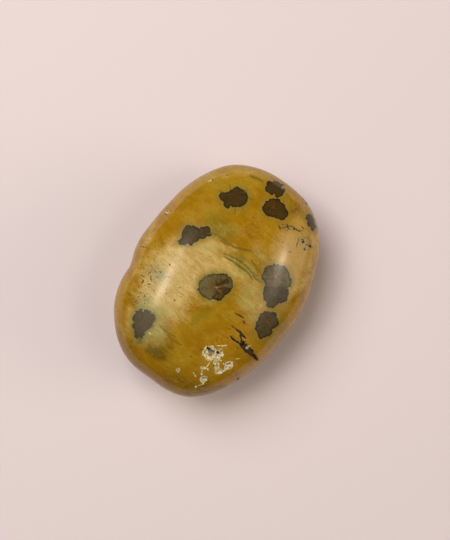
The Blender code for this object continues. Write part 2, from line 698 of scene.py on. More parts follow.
ORBS = (
    Orb(
        (236, 198),
        ((236.6, 197.6, 11.6, 10), (225.6, 197, 6.4, 5.2), (229.6, 200.6, 7, 6.6), (228, 205, 3.2, 4)),
        rust=0.45, pallor=0.06, blue=0.15,
    ),
    Orb(
        (275, 188),
        (
            (273.6, 187.6, 8, 6.8), (278.6, 191.8, 5.6, 4.8), (281.6, 185.4, 3, 1.7, 25),
            (282.4, 189.4, 2.4, 1.4),
        ),
        rust=0.1, pallor=0.12,
    ),
    Orb(
        (273.5, 207.5),
        ((273, 207.8, 10.8, 9.2), (281, 213, 7, 6.8), (277.4, 208.6, 8, 8.4)),
        rust=0.75, rays=0.1,
    ),
    Orb((311, 222), ((311.6, 222.4, 3.4, 8, 20), (308.6, 218, 2.2, 3.4, 20)), rust=0.0, blue=0.3),
    Orb(
        (190, 235),
        (
            (190.2, 234.4, 8.6, 9.8), (185.6, 240, 6.8, 4.8, 24), (192.4, 240.6, 5, 3.4),
            (203.4, 232.8, 7, 6.6), (197.4, 232.6, 4.4, 5.4), (208.8, 234.6, 4.2, 2.8),
        ),
        rust=0.05, pallor=0.1, blue=0.2,
    ),
    Orb(
        (216, 287.3),
        ((209.4, 286.8, 11, 11.6, 10), (209, 293, 6.4, 6.2), (214, 282, 7.6, 9)),
        rust=0.6, rays=0.6, pallor=1.0, blue=0.5,
    ),
    Orb((216, 287.3), ((222, 285.2, 10.6, 12.2), (216.6, 293, 8, 6.6)), rust=1.0, rays=1.0, pallor=0.05),
    Orb(
        (276, 276.5),
        ((276, 275.4, 14.4, 11.4), (284.4, 281, 7.8, 8.6), (273.6, 282.6, 9.6, 6.6)),
        rust=0.8, rays=0.7, pallor=0.3, blue=0.35,
    ),
    Orb(
        (275, 295),
        ((275.4, 293.4, 12.8, 11.4), (271.4, 304, 4.4, 4.4, 40)),
        rust=0.2, rays=0.14, blue=0.35,
    ),
    Orb(
        (268, 322),
        ((268.2, 321, 10.4, 9.7), (264, 330.4, 7.8, 8.6), (262.4, 325, 6.2, 8)),
        rust=0.5, rays=0.14, pallor=0.3,
    ),
    Orb(
        (143, 321),
        ((144, 319.2, 11, 10.6), (141.4, 325, 8.6, 8.4), (139.6, 331, 5.8, 8.2)),
        rust=0.15, rays=0.1, pallor=0.14, blue=1.0,
    ),
    Orb(
        (15, 2),
        ((15, 2, 3.4, 2.9, 20), (17.4, 4.2, 1.9, 1.7)),
        rust=0.5, rays=0.2, pallor=0.1, chart=Chart.UNDER,
    ),
    Orb(
        (-2, 8),
        ((-2, 8, 2.7, 2.5), (-4.2, 6.6, 1.6, 1.4)),
        rust=0.3, rays=0.1, blue=0.2, chart=Chart.UNDER,
    ),
    Orb(
        (-17, -3),
        ((-17, -3, 3.1, 3.3), (-14.6, -5, 2, 1.8)),
        rust=0.8, rays=0.9, pallor=0.2, chart=Chart.UNDER,
    ),
    Orb(
        (5, -11),
        ((5, -11, 2.9, 2.2, -15), (8.2, -11.4, 1.6, 1.4)),
        rust=0.2, rays=0.1, pallor=0.5, blue=0.5, chart=Chart.UNDER,
    ),
    Orb((-12, 12.5), ((-12, 12.5, 2.4, 1.9, 30),), rust=0.4, rays=0.3, blue=0.6, chart=Chart.UNDER),
    Orb(
        (52, -1.5),
        ((52, -1.5, 2.7, 2.3, 10), (46, -2.6, 1.5, 1.3)),
        rust=0.4, rays=0.4, pallor=0.1, chart=Chart.FLANK,
    ),
    Orb(
        (98, -2.8),
        ((98, -2.8, 2.4, 2.1), (102.5, -1.6, 1.5, 1.3)),
        rust=0.6, rays=0.2, blue=0.2, chart=Chart.FLANK,
    ),
    Orb(
        (-112, -2),
        ((-112, -2, 2.9, 2.2), (-105, -2.8, 1.7, 1.4)),
        rust=0.3, rays=0.1, pallor=0.3, blue=0.3, chart=Chart.FLANK,
    ),
    Orb((-38, -3), ((-38, -3, 2.2, 2),), rust=0.5, rays=0.2, chart=Chart.FLANK),
    Orb(
        (172, -2.4),
        ((172, -2.4, 2.5, 2), (166, -3.4, 1.5, 1.3)),
        rust=0.2, rays=0.1, pallor=0.1, blue=0.6, chart=Chart.FLANK,
    ),
)


class Tint(Enum):
    """A soft zone of colour in the jasper; some zones are painted shade and one is a painted reflection. Its
    value is the mesh attribute that holds its strength.
    """

    # Cream zones of the jasper, and a painted reflection: a faint pale band inside the upper-left rim.
    CREAM_AND_REFLECTION = "cream"
    TAN = "tan"
    GREEN = "green"
    ORANGE = "orange"
    OLIVE = "olive"
    # Darker patches of the jasper, and painted shade at the bottom rim and the lower-left end.
    UMBER_AND_SHADE = "shade"
    SPECKS = "specks"


@dataclass(frozen=True)
class Zone:
    """A soft-edged patch of a tint. Its softness is in millimetres."""

    patch: Oval
    softness: float
    strength: float = 1.0


ZONES = {
    Tint.CREAM_AND_REFLECTION: (
        Zone(Oval(168.6, 283, 42.5, 30, 62), 4.2),
        Zone(Oval(213, 261, 30, 18, -30), 4.2, 0.95),
        Zone(Oval(224, 233, 20, 14, -35), 4.0, 0.4),
        Zone(Oval(229, 249, 10, 7, -35), 2.0, 0.7),
        Zone(Oval(262, 256, 8, 16, 35), 2.6, 0.5),
        Zone(Oval(248, 265, 9, 6, -40), 2.0, 0.45),
        Zone(Oval(261, 308, 6, 7), 1.8, 0.8),
        Zone(Oval(204, 304, 13, 6, 20), 2.2, 0.45),
        Zone(Oval(178, 318, 15, 11, 30), 3.0, 0.5),
        Zone(Oval(156, 339, 10, 7, -20), 1.8, 0.75),
        Zone(Oval(130, 318, 7, 15), 1.8, 0.75),
        # Painted reflection: a faint pale band just inside the upper-left rim.
        Zone(Oval(150, 235, 6, 20, -28), 1.4, 0.28),
        Zone(Oval(226, 175.5, 32, 6, 8), 1.6, 0.26),
        Zone(Oval(250, 290, 13, 34, 10), 3.4, 0.72),
        Zone(Oval(268, 326, 15, 18), 2.2, 0.4),
        Zone(Oval(293, 258, 21, 43, -14), 3.2, 0.85),
        Zone(Oval(148, 324, 25, 19, 24), 3.0, 0.75),
        Zone(Oval(6, -4, 13, 9, 30, Chart.UNDER), 3.4, 0.95),
        Zone(Oval(-18, 7, 7, 5, -20, Chart.UNDER), 2.6, 0.7),
        Zone(Oval(-60, -3, 9, 3, 0, Chart.FLANK), 2.0, 0.7),
        Zone(Oval(120, -2, 10, 3, 0, Chart.FLANK), 2.0, 0.6),
    ),
    Tint.TAN: (
        Zone(Oval(292, 250, 20, 42, -12), 3.0, 0.95),
        Zone(Oval(12, -8, 8, 5, 10, Chart.UNDER), 3.0, 0.6),
    ),
    Tint.GREEN: (
        Zone(Oval(236, 198, 20, 16), 3.0, 0.5),
        Zone(Oval(273, 200, 17, 24), 3.0, 0.5),
        Zone(Oval(220, 227, 18, 11, -35), 2.6, 0.95),
        Zone(Oval(245, 265, 20, 9, -42), 2.4, 0.75),
        Zone(Oval(250, 300, 12, 26, 8), 2.6, 0.55),
        Zone(Oval(216, 286, 22, 19, 10), 1.8, 0.55),
        Zone(Oval(270, 326, 17, 20, -10), 2.4, 0.7),
        Zone(Oval(150, 324, 23, 20, 30), 2.6, 0.75),
        Zone(Oval(160, 350, 13, 8, -34), 2.4, 0.8),
        Zone(Oval(152, 347, 5, 6, 30), 1.2, 0.7),
        Zone(Oval(141, 304, 11, 7, 20), 1.8, 0.8),
        Zone(Oval(262, 258, 8, 15, 35), 2.4, 0.6),
        Zone(Oval(142, 338, 9, 6, 20), 1.6, 1.0),
        Zone(Oval(130, 297, 5, 6), 1.4, 0.4),
        Zone(Oval(157, 339, 10, 7, -20), 1.6, 1.0),
        Zone(Oval(203, 247, 20, 7, -10), 2.6, 0.4),
        Zone(Oval(163, 276, 10, 7, -30), 1.8, 0.5),
        Zone(Oval(203, 314, 14, 6, 35), 2.0, 0.7),
        Zone(Oval(-19, 4, 5, 3, 0, Chart.UNDER), 2.2, 0.6),
    ),
    Tint.ORANGE: (
        Zone(Oval(250, 232, 14, 18, 10), 3.4, 0.4),
        Zone(Oval(226, 334, 24, 12, 10), 3.4, 0.4),
        Zone(Oval(170, 226, 22, 12, 55), 3.0, 0.5),
        Zone(Oval(302, 206, 6, 13, -30), 2.0, 0.8),
        Zone(Oval(313, 274, 4, 12, -12), 1.2, 1.0),
        Zone(Oval(-6, 4, 8, 6, 40, Chart.UNDER), 3.4, 0.6),
    ),
    Tint.OLIVE: (
        Zone(Oval(232, 180, 46, 14, 8), 3.4, 0.7),
        Zone(Oval(188, 366, 50, 22, -18), 4.0, 0.4),
        Zone(Oval(206, 212, 22, 14, 10), 3.4, 0.5),
        Zone(Oval(190, 326, 24, 18, 20), 3.4, 0.55),
        Zone(Oval(238, 312, 20, 14, 20), 3.4, 0.45),
        Zone(Oval(20, 6, 9, 8, 0, Chart.UNDER), 3.4, 0.6),
    ),
    Tint.UMBER_AND_SHADE: (
        # Painted shade: these two zones darken the bottom rim and the lower-left end as if turned from the
        # light. The zones after them are darker patches of the jasper.
        Zone(Oval(186, 384, 56, 14, -18), 3.5, 0.6),
        Zone(Oval(126, 352, 18, 30, 30), 3.5, 0.6),
        Zone(Oval(156, 354, 11, 6.6, -30), 1.6, 1.0),
        Zone(Oval(142, 339, 8, 5, 20), 1.6, 0.9),
        Zone(Oval(295, 213, 9, 12, 20), 2.4, 0.6),
        Zone(Oval(249, 205, 7, 12, 20), 2.4, 0.22),
        Zone(Oval(250, 230, 12, 14, 20), 3.0, 0.3),
        Zone(Oval(168, 344, 10, 7, -30), 2.6, 0.45),
        Zone(Oval(160, 327, 9, 3, -40), 1.2, 0.5),
    ),
    Tint.SPECKS: (
        Zone(Oval(157, 274, 12, 8.4, -26), 1.6, 1.0),
        Zone(Oval(147, 290, 9, 8), 1.6, 0.42),
        Zone(Oval(142, 301, 9, 6), 1.4, 0.5),
        Zone(Oval(305, 243, 9, 7, -30), 1.2, 0.85),
        Zone(Oval(291, 228, 13, 3.4, -12), 0.9, 0.5),
        Zone(Oval(304, 205, 6, 11, -25), 1.4, 0.4),
        Zone(Oval(10, -6, 5, 4, 0, Chart.UNDER), 2.0, 0.5),
    ),
}


class Ink(Enum):
    """What a thin line, level with the polish, is filled with. Its value names the gap's mesh attribute."""

    GREEN = "green_line"
    BLACK = "black_line"
    WHITE = "white_line"


VEINS = {
    Ink.GREEN: (
        Stroke(0.07, ((209.5, 233.5), (213, 233), (217.4, 234.5), (225, 240), (232, 244.8))),
        Stroke(0.17, ((229, 244.6), (234, 247.3), (241, 249.2), (252, 252))),
        Stroke(0.07, ((221, 240), (229, 245.6))),
        Stroke(
            0.15,
            ((224, 254), (233, 257), (241, 262.4), (247, 267), (252, 273), (256, 279), (263, 282.6)),
        ),
        Stroke(0.17, ((223.6, 256), (230, 260), (235, 263.2), (246, 270.6), (253, 279))),
        Stroke(0.07, ((226, 255), (238, 259.8), (249, 269.5), (257, 276))),
        Stroke(0.02, ((235, 209), (234.6, 214))),
        Stroke(0.02, ((241.6, 206.6), (243.6, 210.6))),
        Stroke(0.03, ((229.2, 184.6), (230.6, 188.8))),
        Stroke(0.02, ((246.8, 189), (244.4, 191.8))),
        Stroke(0.02, ((219.8, 190.4), (223.2, 193))),
        Stroke(0.12, ((249.5, 175.8), (256, 178), (263.2, 182))),
        Stroke(0.05, ((159, 325), (165, 330), (175, 337.4))),
        Stroke(0.12, ((127, 292), (129.4, 294.6), (131.6, 296))),
        Stroke(0.05, ((147.6, 343.4), (151, 348), (155, 352.6), (158.4, 357.4))),
        Stroke(0.16, ((154.6, 350.6), (156.4, 353.6), (158, 356.6))),
        Stroke(0.16, ((138.8, 337), (139.6, 340), (141.2, 343.4))),
        Stroke(0.06, ((154.6, 346.8), (157.4, 351), (161.6, 354.6))),
        Stroke(0.04, ((149.4, 352), (154, 356), (160.4, 359))),
        Stroke(0.03, ((160, 345), (163.4, 349.6), (168, 353))),
        Stroke(0.05, ((168, 334), (173, 341), (181, 345))),
        Stroke(0.02, ((249.4, 198), (252.4, 199.6))),
        Stroke(0.04, ((252, 260), (256, 268), (262, 274))),
        Stroke(0.12, ((186, 392), (190.6, 394.8))),
        Stroke(0.1, ((197, 389), (202, 391), (207, 392.2))),
        Stroke(0.08, ((218, 387.8), (227, 385.8))),
        Stroke(0.03, ((278.4, 280.6), (278.6, 284.6), (275.6, 286.8), (272.8, 286))),
        Stroke(0.14, ((2, 3), (6, 5), (11, 5.6), (15, 7)), Chart.UNDER),
    ),
    Ink.BLACK: (
        Stroke(0.17, ((234, 312.2), (239, 315), (244.4, 318.4))),
        Stroke(0.13, ((242.6, 320.6), (245.6, 324.4))),
        Stroke(0.07, ((231.4, 325.8), (234, 327.8), (237, 330.2))),
        Stroke(0.09, ((140, 246.6), (143.5, 247.2), (147, 246.8))),
        Stroke(0.13, ((278.4, 225.6), (280.2, 229.6))),
        Stroke(0.09, ((280.4, 227.4), (284.4, 227.4), (288, 226.4))),
        Stroke(0.14, ((287.2, 224.4), (289.2, 230.2))),
        Stroke(0.15, ((288.6, 227), (292, 226.2), (295.4, 228.8), (299, 230.8), (302.2, 230.6))),
        Stroke(0.1, ((292.6, 226.4), (294, 230.6))),
        Stroke(0.09, ((301.6, 226.6), (303.8, 229.8))),
        Stroke(0.08, ((299.2, 238.6), (297.4, 243.6), (296.4, 248.2))),
        Stroke(0.14, ((301.4, 239.2), (303.4, 240.4))),
        Stroke(0.08, ((305.6, 243.4), (306.4, 245.6))),
        Stroke(0.1, ((304.4, 247.8), (305, 250.6))),
        Stroke(0.09, ((312.2, 247.4), (314.4, 248.8))),
        Stroke(0.08, ((288.6, 251.6), (291.8, 252.8))),
        Stroke(0.14, ((141.8, 283.2), (144.2, 280.8))),
        Stroke(0.15, ((147.8, 284.2), (150.8, 284.6))),
        Stroke(0.07, ((139.6, 275), (142.6, 276), (145, 278))),
        Stroke(0.1, ((151, 275.4), (150.6, 278.4), (152.2, 281.4))),
        Stroke(0.08, ((154.6, 270.6), (156.8, 273.4))),
        Stroke(0.11, ((159.8, 271.4), (161.2, 273.8))),
        Stroke(0.15, ((144.2, 296.4), (145.4, 296.6))),
        Stroke(0.13, ((149.8, 296.2), (150.4, 296.6))),
        Stroke(0.1, ((173.6, 301), (175.4, 299.2))),
        Stroke(0.09, ((179.8, 306.4), (180.4, 309.2))),
        Stroke(0.08, ((169.4, 263.4), (169.8, 265.4))),
        Stroke(0.12, ((-20, 10), (-16, 12), (-11, 12.6)), Chart.UNDER),
    ),
    Ink.WHITE: (
        Stroke(0.06, ((193.2, 372.2), (194.6, 374.6), (196.4, 377))),
        Stroke(0.05, ((134, 312.4), (135.2, 314.2))),
        Stroke(0.05, ((142.6, 309.6), (143, 311))),
        Stroke(0.06, ((148.6, 332.4), (150.6, 334.6))),
        Stroke(0.04, ((235.3, 358.8), (240.1, 358.4))),
        Stroke(0.07, ((216.4, 345.8), (219, 344.9), (222, 345.9), (226.6, 345.6))),
        Stroke(0.06, ((217.2, 348), (219.6, 349), (221.8, 348.4))),
        Stroke(0.12, ((221, 371.2), (226, 370), (232, 368.6))),
        Stroke(0.07, ((209.8, 362.6), (208, 365), (206.4, 367), (203, 368.6))),
        Stroke(0.05, ((204, 384), (200, 385), (196.6, 386.4))),
    ),
}


class Lining(Enum):
    """What the inside of a pit is like. Its value is the mesh attribute that holds its share."""

    DRUSE = "druse"
    DARK = "dark_pit"
    CHIP = "chip"


@dataclass(frozen=True)
class Pit:
    """An open hollow with steep walls and a ragged edge. Its depth and wall are in millimetres."""

    lining: Lining
    depth: float
    wall: float
    marks: tuple[Mark, ...]
    ragged: float = 0.35

    def gap(self, skin: Skin) -> np.ndarray:
        """How far outside it every vertex lies, in millimetres, and below 0 inside it."""
        return nearest_gap(self.marks, skin) + self.ragged * skin.crumble


PITS = (
    Pit(Lining.DRUSE, 0.42, 0.3, (Oval(210.2, 353.6, 7.2, 7.8), Oval(218, 355.4, 5.0, 5.6)), 0.5),
    Pit(Lining.DRUSE, 0.8, 0.35, (Oval(210.4, 349.4, 3.8, 2.4, -14), Oval(218.8, 352.6, 2.5, 3.0))),
    Pit(Lining.DRUSE, 0.28, 0.2, (Oval(211.8, 352.8, 4.4, 4.2),), 0.25),
    Pit(
        Lining.DRUSE, 0.36, 0.2,
        (Stroke(0.7, ((214.4, 359), (216.4, 364.6), (217.8, 368.6))), Oval(218.6, 371, 3.9, 3.3)),
        0.5,
    ),
    Pit(
        Lining.DRUSE, 0.36, 0.2,
        (Oval(228.4, 365.4, 4.8, 4.0, 18), Stroke(0.36, ((221, 370.6), (225, 369.4), (229, 368)))),
        0.5,
    ),
    Pit(Lining.DRUSE, 0.3, 0.2, (Oval(228.8, 364.8, 2.6, 1.7, 18),), 0.2),
    Pit(
        Lining.DRUSE, 0.3, 0.2,
        (Oval(204.4, 368.6, 3.8, 1.3, 8), Stroke(0.24, ((203.4, 369.5), (202, 372), (201.6, 375.5)))),
        0.45,
    ),
    Pit(Lining.DRUSE, 0.36, 0.2, (Oval(203.2, 379.2, 3.9, 3.6, 20),), 0.5),
    Pit(Lining.DRUSE, 0.3, 0.2, (Oval(203.4, 378.6, 1.8, 1.4, 20),), 0.2),
    Pit(Lining.DRUSE, 0.2, 0.2, (Oval(196.4, 386.2, 1.7, 1.1, 20),)),
    Pit(Lining.DRUSE, 0.35, 0.2, (Oval(178, 370, 1.8, 2),)),
    Pit(Lining.DARK, 0.9, 0.3, (Oval(247.9, 349.8, 8.2, 3.8, -48), Oval(254, 356.6, 4.8, 2.1, -42)), 0.5),
    Pit(Lining.DARK, 0.6, 0.25, (Oval(242.8, 343.8, 3.6, 2.4, -64),), 0.35),
    Pit(Lining.DRUSE, 0.05, 0.2, (Oval(248.9, 347.6, 2.9, 1.3, 58),), 0.3),
    Pit(
        Lining.DARK, 0.5, 0.2,
        (Stroke(0.32, ((230.4, 335.6), (233.4, 339), (237, 341.8), (243, 346))),),
        0.2,
    ),
    Pit(
        Lining.DARK, 0.4, 0.2,
        (Stroke(0.34, ((236, 329.6), (239.4, 332), (242.6, 335), (246.8, 339.2))),),
        0.25,
    ),
    Pit(Lining.DARK, 0.3, 0.2, (Stroke(0.22, ((240.6, 334), (240.8, 337), (242.4, 341))),), 0.2),
    Pit(Lining.CHIP, 0.3, 0.25, (Oval(168, 212.5, 2.6, 1.7, 35),)),
    Pit(Lining.CHIP, 0.25, 0.2, (Oval(211.5, 180.3, 3.2, 1.2, 12),)),
    Pit(Lining.CHIP, 0.25, 0.2, (Oval(303.4, 199, 1.6, 0.9, -50), Oval(306.4, 203, 0.8, 1.3, 30))),
    Pit(
        Lining.DARK, 0.3, 0.2,
        (Oval(310.2, 246.2, 1.9, 1.2, -30), Oval(303.2, 241.8, 1.2, 0.8), Oval(304.6, 249.4, 0.8, 0.6)),
    ),
    Pit(Lining.DARK, 0.25, 0.2, (Oval(238, 379.6, 0.9, 1.7),)),
    Pit(
        Lining.DRUSE, 0.5, 0.3,
        (Oval(13, -10.5, 1.5, 1.0, 40, Chart.UNDER), Oval(14.4, -9.2, 0.7, 0.6, 0, Chart.UNDER)),
    ),
    Pit(Lining.DARK, 0.45, 0.2, (Stroke(0.3, ((-15.8, 14), (-15, 12), (-14.4, 10)), Chart.UNDER),)),
)


@dataclass
class Markings:
    """Draws everything that the jasper shows into mesh attributes, and sinks its pits into the mesh."""

    orbs: tuple[Orb, ...] = ORBS
    zones: dict[Tint, tuple[Zone, ...]] = field(default_factory=lambda: ZONES)
    veins: dict[Ink, tuple[Stroke, ...]] = field(default_factory=lambda: VEINS)
    pits: tuple[Pit, ...] = PITS
    far_gap: float = 6.0
    orb_gap_weight: float = 1.6
    orb_seed_step: float = 7.0
    lump_sizes: tuple[Spot, ...] = ((1.1, 0.5), (0.4, 0.5))
    lump_share: float = 0.45

    def detail_gap(self, skin: Skin) -> np.ndarray:
        """How far every vertex is from the nearest edge that needs a fine mesh.

        Args:
            skin: The surface.

        Returns:
            Millimetres, and 0 all over the inside of a pit.
        """
        orbs = np.abs(nearest_gap([oval for orb in self.orbs for oval in orb.ovals()], skin))
        veins = np.abs(nearest_gap(chain.from_iterable(self.veins.values()), skin))
        pits = np.maximum(0, nearest_gap(self.pits, skin))
        return np.minimum(np.minimum(orbs * self.orb_gap_weight, veins), pits)

    def draw(self, mesh: bpy.types.Mesh, skin: Skin) -> None:
        """Writes the attributes that the jasper's shader reads.

        Args:
            mesh: The stone.
            skin: Its surface.
        """
        self.draw_orbs(mesh, skin)
        for tint, zones in self.zones.items():
            shares = [zone.strength * soft_share(zone.patch.gap(skin), zone.softness) for zone in zones]
            self.write(mesh, tint.value, np.max(shares, axis=0))
        for ink, strokes in self.veins.items():
            self.write(mesh, ink.value, np.minimum(nearest_gap(strokes, skin), self.far_gap))
        for lining in Lining:
            pits = [pit for pit in self.pits if pit.lining is lining]
            self.write(mesh, lining.value, np.clip(nearest_gap(pits, skin), -self.far_gap, self.far_gap))

    def draw_orbs(self, mesh: bpy.types.Mesh, skin: Skin) -> None:
        """Writes the gap to the nearest orb, the way to its core, and its minerals.

        Args:
            mesh: The stone.
            skin: Its surface.
        """
        gaps = np.array([nearest_gap(orb.ovals(), skin) for orb in self.orbs])
        owner = gaps.argmin(axis=0)
        self.write(mesh, "orb_gap", np.clip(gaps.min(axis=0), -self.far_gap, self.far_gap))
        offsets = np.array([np.stack(skin.offsets(orb.chart, *orb.core)[:2], axis=1) for orb in self.orbs])
        from_core = np.zeros((len(owner), 3), np.float32)
        from_core[:, :2] = offsets[owner, np.arange(len(owner))]
        from_core[:, 2] = owner * self.orb_seed_step
        self.write(mesh, "orb_core", from_core)
        minerals = np.array([(orb.rust, orb.pallor, orb.blue) for orb in self.orbs])
        self.write(mesh, "orb_minerals", minerals[owner])
        self.write(mesh, "orb_rays", np.array([orb.rays for orb in self.orbs])[owner])

    def sink(self, mesh: bpy.types.Mesh, skin: Skin) -> None:
        """Presses the pits into the mesh, with lumpy floors, and writes how deep each vertex went.

        Args:
            mesh: The stone.
            skin: Its surface.
        """
        lumps = skin.noise_at(self.lump_sizes)[:, 2]
        depth = np.zeros(len(skin.place))
        for pit in self.pits:
            inside = np.clip(-pit.gap(skin) / pit.wall, 0, 1)
            depth += pit.depth * inside * (2 - inside) * (1 + self.lump_share * lumps)
        points = np.empty(len(depth) * 3, np.float32)
        normals = np.empty(len(depth) * 3, np.float32)
        mesh.vertices.foreach_get("co", points)
        mesh.vertices.foreach_get("normal", normals)
        points -= (normals.reshape(-1, 3) * depth[:, None] * MM).ravel()
        mesh.vertices.foreach_set("co", points.astype(np.float32))
        mesh.update()
        self.write(mesh, "depth", depth)

    @staticmethod
    def write(mesh: bpy.types.Mesh, name: str, values: np.ndarray) -> None:
        """Stores a number or a vector at every vertex.

        Args:
            mesh: The stone.
            name: The attribute.
            values: One row for each vertex.
        """
        kind, key = ("FLOAT", "value") if values.ndim == 1 else ("FLOAT_VECTOR", "vector")
        attribute = mesh.attributes.new(name, kind, "POINT")
        attribute.data.foreach_set(key, values.astype(np.float32).ravel())


@dataclass(frozen=True)
class GroundSpot:
    """A place where the hand-ground outline leaves the even oval."""

    bearing_deg: float
    spread_deg: float
    outward: float


@dataclass
class PalmStone:
    """The stone's body: a sphere drawn out to a flattened oval, hand-ground, with a flat to rest on."""

    length: float = 0.065
    width: float = 0.0468
    dome_rise: float = 0.0125
    widest_level: float = 0.0115
    flat_cut: float = 0.00035
    outline_power: float = 2.34
    profile_power: float = 2.08
    ground_fade: float = 8.0
    ground_spots: tuple[GroundSpot, ...] = (
        GroundSpot(-162, 9, 0.0005),
        GroundSpot(-133, 12, -0.0005),
        GroundSpot(-80, 16, 0.0005),
        GroundSpot(-53, 7, -0.0003),
        GroundSpot(-6, 9, -0.00015),
        GroundSpot(27, 9, 0.00035),
        GroundSpot(64, 9, -0.0002),
        GroundSpot(92, 9, 0.00035),
        GroundSpot(113, 7, -0.0009),
        GroundSpot(135, 8, 0.0003),
        GroundSpot(177, 8, -0.0004),
    )
    sphere_subdivisions: int = 6
    fine_bands: tuple[float, ...] = (1.3, 0.7, 0.34)
    markings: Markings = field(default_factory=Markings)

    def form_tool(self) -> GeometryTool:
        """The tree that draws a unit sphere out to the stone.

        Returns:
            The tree, whose inputs are the stone's sizes.
        """
        tool = GeometryTool("palm_stone_form")
        sheet = tool.sheet
        half_length = tool.inlet("Half Length")
        half_width = tool.inlet("Half Width")
        dome_rise = tool.inlet("Dome Rise")
        base_depth = tool.inlet("Base Depth")
        widest_level = tool.inlet("Widest Level")
        outline_power = tool.inlet("Outline Power")
        profile_power = tool.inlet("Profile Power")
        ground_fade = tool.inlet("Ground Fade")
        material = tool.inlet("Material", "Material")

        x, y, z = sheet.axes(sheet.node("GeometryNodeInputPosition"))
        above = sheet.math("GREATER_THAN", z, 0.0)
        rise = above + (1 - above) * (dome_rise / base_depth)
        plan = abs(x) ** outline_power + abs(y) ** outline_power
        shell = plan ** (profile_power / outline_power) + abs(z * rise) ** profile_power
        grow = shell ** (-1 / profile_power)
        even_x = x * grow * half_length
        even_y = y * grow * half_width
        rim_share = (plan ** (1 / outline_power)) * grow
        moved = self.ground_move(sheet, even_x, even_y) * rim_share**ground_fade
        reach = sheet.math("SQRT", even_x * even_x + even_y * even_y)
        spread = 1 + moved / reach
        level = sheet.math("MAXIMUM", z * grow * dome_rise, -widest_level)
        parts = {"X": even_x * spread, "Y": even_y * spread, "Z": level}
        place = sheet.node("ShaderNodeCombineXYZ", feeds=parts)
        shaped = sheet.node("GeometryNodeSetPosition", feeds={"Geometry": tool.geometry(), "Position": place})
        position = sheet.node("GeometryNodeInputPosition")
        stored = sheet.node(
            "GeometryNodeStoreNamedAttribute",
            {"data_type": "FLOAT_VECTOR", "domain": "POINT"},
            {"Geometry": shaped, "Name": "from_middle", "Value": position},
        )
        low = sheet.node("GeometryNodeBoundBox", feeds={"Geometry": shaped}, outlet="Min")
        high = sheet.node("GeometryNodeBoundBox", feeds={"Geometry": shaped}, outlet="Max")
        low_x, low_y, _ = sheet.axes(low)
        high_x, high_y, _ = sheet.axes(high)
        shift = {"X": (low_x + high_x) * -0.5, "Y": (low_y + high_y) * -0.5, "Z": widest_level}
        offset = sheet.node("ShaderNodeCombineXYZ", feeds=shift)
        centred = sheet.node("GeometryNodeSetPosition", feeds={"Geometry": stored, "Offset": offset})
        smooth = sheet.node("GeometryNodeSetShadeSmooth", feeds={0: centred})
        tool.close(smooth, material)
        return tool

    def ground_move(self, sheet: NodeSheet, x: Signal, y: Signal) -> Signal:
        """How far the hand grinding moves the rim at a place's bearing.

        Args:
            sheet: The tree.
            x: The place along the stone.
            y: The place across it.

        Returns:
            Metres outwards.
        """
        bearing = sheet.math("DEGREES", sheet.math("ARCTAN2", y, x))
        total = 0.0
        for spot in self.ground_spots:
            turned = sheet.math("FLOORED_MODULO", bearing - spot.bearing_deg + 180, 360.0) - 180
            away = turned / spot.spread_deg
            total = total + sheet.math("EXPONENT", -(away * away)) * spot.outward
        return total

    def sizes(self, material: bpy.types.Material) -> dict[str, Any]:
        """The tree's inputs.

        Args:
            material: The stone's finish.

        Returns:
            A value for each named input.
        """
        return {
            "Half Length": self.length / 2,
            "Half Width": self.width / 2,
            "Dome Rise": self.dome_rise,
            "Base Depth": self.widest_level + self.flat_cut,
            "Widest Level": self.widest_level,
            "Outline Power": self.outline_power,
            "Profile Power": self.profile_power,
            "Ground Fade": self.ground_fade,
            "Material": material,
        }

    def build(self, view: PhotoView, material: bpy.types.Material) -> bpy.types.Object:
        """Makes the finished stone.

        Args:
            view: The reference view.
            material: The stone's finish.

        Returns:
            The stone's object.
        """
        tool = self.form_tool()
        sizes = self.sizes(material)
        sphere = bpy.data.meshes.new("sphere")
        shape = bmesh.new()
        bmesh.ops.create_icosphere(shape, subdivisions=self.sphere_subdivisions, radius=1.0)
        shape.to_mesh(sphere)
        shape.free()
        for band in self.fine_bands:
            coarse = tool.run(sphere, sizes, "coarse")
            gap = self.markings.detail_gap(Skin(coarse, view))
            bpy.data.meshes.remove(coarse)
            self.refine(sphere, gap < band)
        stone = tool.run(sphere, sizes, "palm_stone_body")
        bpy.data.meshes.remove(sphere)
        skin = Skin(stone, view)
        self.markings.draw(stone, skin)
        self.markings.sink(stone, skin)
        return add_object("palm_stone_body", stone)

    @staticmethod
    def refine(sphere: bpy.types.Mesh, chosen: np.ndarray) -> None:
        """Splits the sphere's edges between chosen vertices, and puts the new ones on the sphere.

        Args:
            sphere: The unit sphere.
            chosen: Whether each vertex is near a marking.
        """
        shape = bmesh.new()
        shape.from_mesh(sphere)
        shape.verts.ensure_lookup_table()
        edges = [edge for edge in shape.edges if chosen[edge.verts[0].index] or chosen[edge.verts[1].index]]
        bmesh.ops.subdivide_edges(shape, edges=edges, cuts=1, use_grid_fill=True)
        bmesh.ops.triangulate(shape, faces=shape.faces[:])
        for vertex in shape.verts:
            vertex.co.normalize()
        shape.to_mesh(sphere)
        shape.free()

    def middle(self, piece: bpy.types.Object) -> Vector:
        """The middle of the widest level, in metres.

        Args:
            piece: The finished stone.

        Returns:
            The place that the stone's measures run from.
        """
        top = max(range(len(piece.data.vertices)), key=lambda number: piece.data.vertices[number].co.z)
        from_middle = piece.data.attributes["from_middle"].data[top].vector
        shift = piece.data.vertices[top].co - from_middle
        return Vector((shift.x, shift.y, self.widest_level))


